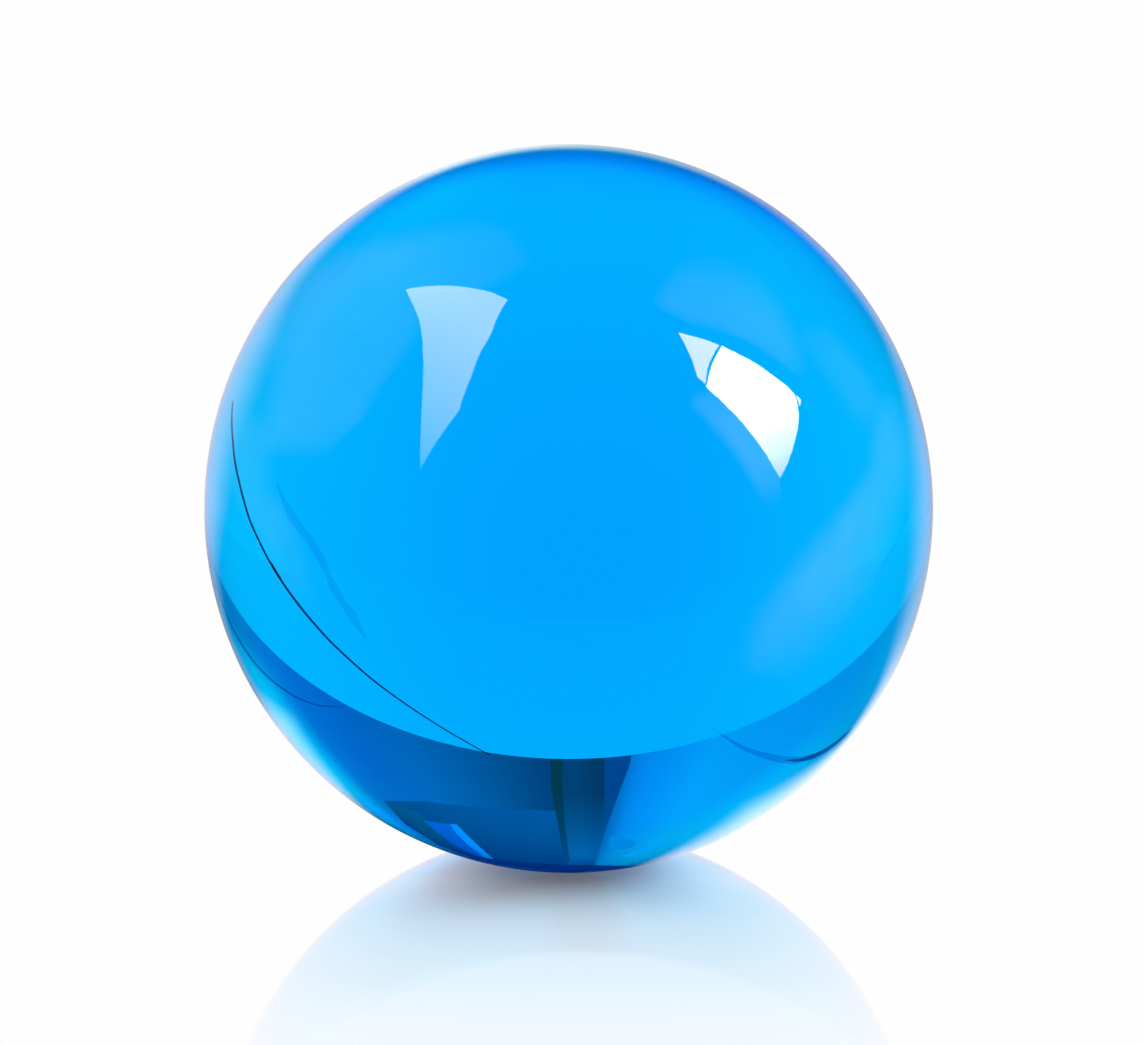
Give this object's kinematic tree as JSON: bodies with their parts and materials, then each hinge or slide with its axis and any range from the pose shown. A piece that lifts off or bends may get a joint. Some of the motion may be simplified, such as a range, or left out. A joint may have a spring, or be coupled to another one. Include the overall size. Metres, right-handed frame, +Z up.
{
  "type": "glass sphere",
  "caption": "Solid transparent blue glass ball, polished all over, with no flat or bore; it sits in a ring or cup stand.",
  "frame": {"origin": "centre of the ball", "axes": "+Z up, away from the stand that holds the ball; +X to the right and +Y to the back as seen from the front"},
  "size_m": [0.08, 0.08, 0.08],
  "materials": {
    "blue_glass": "transparent blue glass, coloured all through and polished to a clear gloss"
  },
  "bodies": {
    "root": {"glass_sphere": "blue_glass"}
  },
  "joints": []
}
